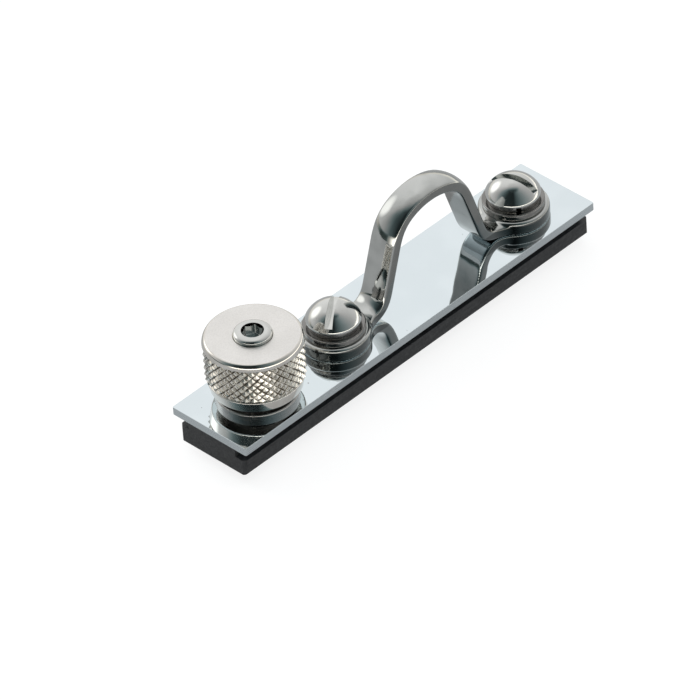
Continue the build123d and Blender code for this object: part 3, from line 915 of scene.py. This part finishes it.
def makeKnobScrew():
    size = {"headHeight": 0.0050, "shank": 0.0025, "socket": 0.0040, "socketDepth": 0.0026,
            "mouth": 0.0025, "edgeWidth": 0.0012, "edgeHeight": 0.0007, "edge": 0.00016}
    low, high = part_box("knob_screw")
    radius = (high.x - low.x) / 2
    axis = (low + high) / 2
    seat = high.z - size["headHeight"]
    profile = [(0, high.z)]
    profile += arcPoints((radius - size["edgeWidth"], high.z - size["edgeHeight"]),
                         size["edgeWidth"], size["edgeHeight"], 90, 0, 12)
    profile += [(radius, seat), (size["shank"], seat), (size["shank"], low.z), (0, low.z)]
    screw = turnPiece("knobScrew", (axis.x, axis.y), profile)
    selectNone()
    bpy.ops.mesh.primitive_cylinder_add(vertices=6, radius=size["socket"] / sqrt(3),
                                        depth=2 * size["socketDepth"],
                                        location=(axis.x, axis.y, high.z))
    cutWith(screw, bpy.context.object)
    bpy.ops.mesh.primitive_cone_add(vertices=96, radius1=0, radius2=2 * size["mouth"],
                                    depth=2 * size["mouth"], location=(axis.x, axis.y, high.z))
    cutWith(screw, bpy.context.object)
    closeMesh(screw)
    softenEdges(screw, size["edge"], angle=34)
    finishShading(screw, angle=36)
    return screw


slidePlate = makePlate()
dress(slidePlate, "car", mirrorPlate, "mirror_steel", "slide_plate")
print("slide plate made")

leadEye = makeLeadEye()
dress(leadEye, "car", polishedSteel, "polished_steel", "lead_eye")
print("lead eye made")

for name, node, slotTurn in (("frontScrew", "front_screw", 33.0),
                             ("rearScrew", "rear_screw", -71.0)):
    dress(makeScrew(name, node, slotTurn), "car", screwSteel, "polished_steel", node)
for name, node in (("frontWasher", "front_washer"), ("rearWasher", "rear_washer")):
    dress(makeWasher(name, node), "car", shadedWasherSteel, "polished_steel", node)
for name, node, gapTurn in (("frontLockWasher", "front_lock_washer", -40.0),
                            ("rearLockWasher", "rear_lock_washer", -125.0)):
    dress(makeLockWasher(name, node, gapTurn), "car", milledSteel, "plain_steel", node)
print("screws and washers made")

dress(makeHousing(), "car", turnedSteel, "plain_steel", "plunger_housing")
dress(makePin(), "plunger", turnedSteel, "plain_steel", "plunger_pin")
plungerSpring, squeezed = makeSpring()
dress(plungerSpring, "car", springWire, "spring_steel", "plunger_spring")
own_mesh(plungerSpring)
dress(makeKnob(), "pull_knob", platedKnob, "knob_plating", "knob")
dress(makeKnobScrew(), "pull_knob", screwSteel, "polished_steel", "knob_screw")
print("plunger made")

for node, material in (("slider", blackAcetal), ("tapped_bar", milledSteel),
                       ("housing_nut", milledSteel)):
    nodes[node].material_slots[0].material = material


# studio: pale floor, soft light and the camera

def makeFloor():
    look = {"size": 6.0, "colour": (0.26, 0.265, 0.27, 1), "roughness": 0.9, "glow": 0.84,
            "mirrored": 0.30}
    selectNone()
    bpy.ops.mesh.primitive_plane_add(size=look["size"], location=(0, 0, 0))
    floor = bpy.context.object
    floor.name = "studioFloor"
    material = bpy.data.materials.new("paleFloor")
    material.use_nodes = True
    tree = material.node_tree
    shader = tree.nodes["Principled BSDF"]
    shader.inputs["Base Color"].default_value = look["colour"]
    shader.inputs["Roughness"].default_value = look["roughness"]
    shader.inputs["Specular IOR Level"].default_value = 0.0
    path = addNode(tree, "ShaderNodeLightPath")
    mirrored = mathNode(tree, "MULTIPLY", path.outputs["Is Glossy Ray"], look["mirrored"])
    seen = mathNode(tree, "ADD", path.outputs["Is Camera Ray"], mirrored)
    seen = mathNode(tree, "ADD", seen, path.outputs["Is Transmission Ray"], clamp=True)
    shader.inputs["Emission Color"].default_value = (1, 1, 1, 1)
    tree.links.new(mathNode(tree, "MULTIPLY", seen, look["glow"]),
                   shader.inputs["Emission Strength"])
    floor.data.materials.append(material)


viewFrom = {"azimuth": -43.63, "elevation": 39.20, "roll": -4.15, "distance": 1.620,
            "lens": 386.54, "target": (-0.01661, -0.00506, 0.0116)}


def viewAxes():
    a, e = radians(viewFrom["azimuth"]), radians(viewFrom["elevation"])
    back = Vector((sin(a) * cos(e), -cos(a) * cos(e), sin(e)))
    right = Vector((cos(a), sin(a), 0))
    return back, right, back.cross(right)


def towards(azimuth, elevation):
    # a direction, in degrees to the right of straight away from the camera and upwards
    back, right = viewAxes()[:2]
    away = Vector((-back.x, -back.y, 0)).normalized()
    a, e = radians(azimuth), radians(elevation)
    return (away * cos(a) + right * sin(a)) * cos(e) + Vector((0, 0, sin(e)))


def makeCamera():
    back, right, up = viewAxes()
    roll = radians(viewFrom["roll"])
    turnedRight = cos(roll) * right + sin(roll) * up
    turnedUp = cos(roll) * up - sin(roll) * right
    bpy.ops.object.camera_add()
    camera = bpy.context.object
    camera.name = "productCamera"
    camera.data.lens = viewFrom["lens"]
    camera.data.sensor_width = 36
    place = Vector(viewFrom["target"]) + back * viewFrom["distance"]
    camera.matrix_world = Matrix.Translation(place) @ Matrix(
        (turnedRight, turnedUp, back)).transposed().to_4x4()
    bpy.context.scene.camera = camera


leftBox = {"azimuth": -53, "elevation": 26}


def makeWorld():
    # the room that the polished steel reflects: pale walls behind the car, a dark gap and a
    # grey wall on the right, and an unlit side behind the camera. Each wall is a list of
    # (degrees to the right of straight away from the camera, brightness)
    look = {
        "midWall": ((-180, 0.02), (-138, 0.03), (-118, 0.16), (-98, 0.46), (-80, 0.62),
                    (-62, 0.78), (-25, 0.88), (0, 0.92), (17, 0.88), (27, 0.45), (34, 0.12),
                    (50, 0.12), (62, 0.40), (80, 0.34), (98, 0.16), (118, 0.05),
                    (138, 0.02), (180, 0.02)),
        "highWall": ((-180, 0.02), (-140, 0.03), (-118, 0.10), (-98, 0.26), (-80, 0.50),
                     (-60, 0.76), (0, 0.92), (22, 0.82), (42, 0.38), (62, 0.14), (82, 0.12),
                     (104, 0.10), (130, 0.05), (155, 0.02), (180, 0.02)),
        "lowWall": ((-180, 3.0), (-134, 2.4), (-124, 0.6), (-114, 0.08), (-92, 0.06),
                    (-78, 0.35), (-60, 0.80), (0, 0.85), (25, 0.80), (42, 0.25), (62, 0.50),
                    (104, 0.45), (130, 0.35), (150, 0.5), (162, 3.0), (180, 3.0)),
        # degrees of height over which one part of the room turns into the next
        "lowToMid": (5, 10), "midToHigh": (15, 56), "highToRoof": (66, 80),
        "roofSpan": (-0.22, 0.20), "roofTones": (0.05, 0.62), "boxSpread": (21, 8),
        "warmTint": (1.0, 0.965, 0.89), "boxTint": (1.6, 1.59, 1.56, 1),
        "tintSpan": (0.04, 0.5), "lightTint": (1.0, 0.995, 0.985, 1),
        "darkTint": (0.72, 1.0, 1.04, 1)}
    away, right = towards(0, 0), towards(90, 0)
    world = bpy.data.worlds.new("studioWorld")
    bpy.context.scene.world = world
    world.use_nodes = True
    tree = world.node_tree
    tree.nodes.clear()
    place = addNode(tree, "ShaderNodeTexCoord")

    def along(axis):
        node = addNode(tree, "ShaderNodeVectorMath", {0: place.outputs["Generated"]},
                       operation="DOT_PRODUCT")
        node.inputs[1].default_value = axis
        return node.outputs["Value"]

    def wall(name, tint=(1, 1, 1)):
        node = tree.nodes.new("ShaderNodeValToRGB")
        marks = node.color_ramp.elements
        for index, (bearing, brightness) in enumerate(look[name]):
            mark = marks[index] if index < 2 else marks.new(0.5)
            mark.position = (bearing + 180) / 360
            mark.color = [brightness * part for part in tint] + [1]
        tree.links.new(around, node.inputs["Fac"])
        return node.outputs["Color"]

    def climb(name):
        first, last = look[name]
        return mapRange(tree, height, sin(radians(first)), sin(radians(last)))

    turn = mathNode(tree, "ARCTAN2", along(right), along(away))
    around = mapRange(tree, turn, -pi, pi, smooth=False)
    height = along(Vector((0, 0, 1)))
    room = mixColour(tree, climb("lowToMid"), wall("lowWall", look["warmTint"]),
                     wall("midWall"))
    room = mixColour(tree, climb("midToHigh"), room, wall("highWall"))
    roof = mapRange(tree, along(away), *look["roofSpan"], *look["roofTones"])
    room = mixColour(tree, climb("highToRoof"), room, roof)
    outside, inside = (cos(radians(spread)) for spread in look["boxSpread"])
    box = mapRange(tree, along(towards(**leftBox)), outside, inside)
    room = mixColour(tree, box, room, look["boxTint"])
    tint = mixColour(tree, mapRange(tree, room, *look["tintSpan"]), look["darkTint"],
                     look["lightTint"])
    tinted = tree.nodes.new("ShaderNodeMix")
    tinted.data_type, tinted.blend_type = "RGBA", "MULTIPLY"
    tinted.inputs[0].default_value = 1.0
    tree.links.new(room, tinted.inputs[6])
    tree.links.new(tint, tinted.inputs[7])
    path = addNode(tree, "ShaderNodeLightPath")
    seen = mixColour(tree, path.outputs["Is Camera Ray"], tinted.outputs[2], (1, 1, 1, 1))
    light = addNode(tree, "ShaderNodeBackground", {"Color": seen}, Strength=1.0)
    out = addNode(tree, "ShaderNodeOutputWorld")
    tree.links.new(light.outputs[0], out.inputs["Surface"])


def makeSoftBox(name, azimuth, elevation, distance, width, height, brightness):
    # brightness is how much brighter than white paper the box looks
    direction = towards(azimuth, elevation)
    bpy.ops.object.light_add(type="AREA", location=direction * distance)
    lamp = bpy.context.object
    lamp.name = name
    lamp.data.shape = "RECTANGLE"
    lamp.data.size, lamp.data.size_y = width, height
    lamp.data.energy = brightness * pi * width * height
    lamp.rotation_mode = "QUATERNION"
    lamp.rotation_quaternion = direction.to_track_quat("Z", "Y")
    lamp.visible_glossy = False                   # the steel mirrors the world's soft box


makeFloor()
makeWorld()
makeSoftBox("leftSoftBox", **leftBox, distance=1.2, width=0.72, height=0.86,
            brightness=1.4)
makeSoftBox("topSoftBox", azimuth=180, elevation=72, distance=1.2, width=1.2, height=1.2,
            brightness=1.2)
makeCamera()
bpy.context.scene.view_settings.view_transform = "Standard"
print("studio made")
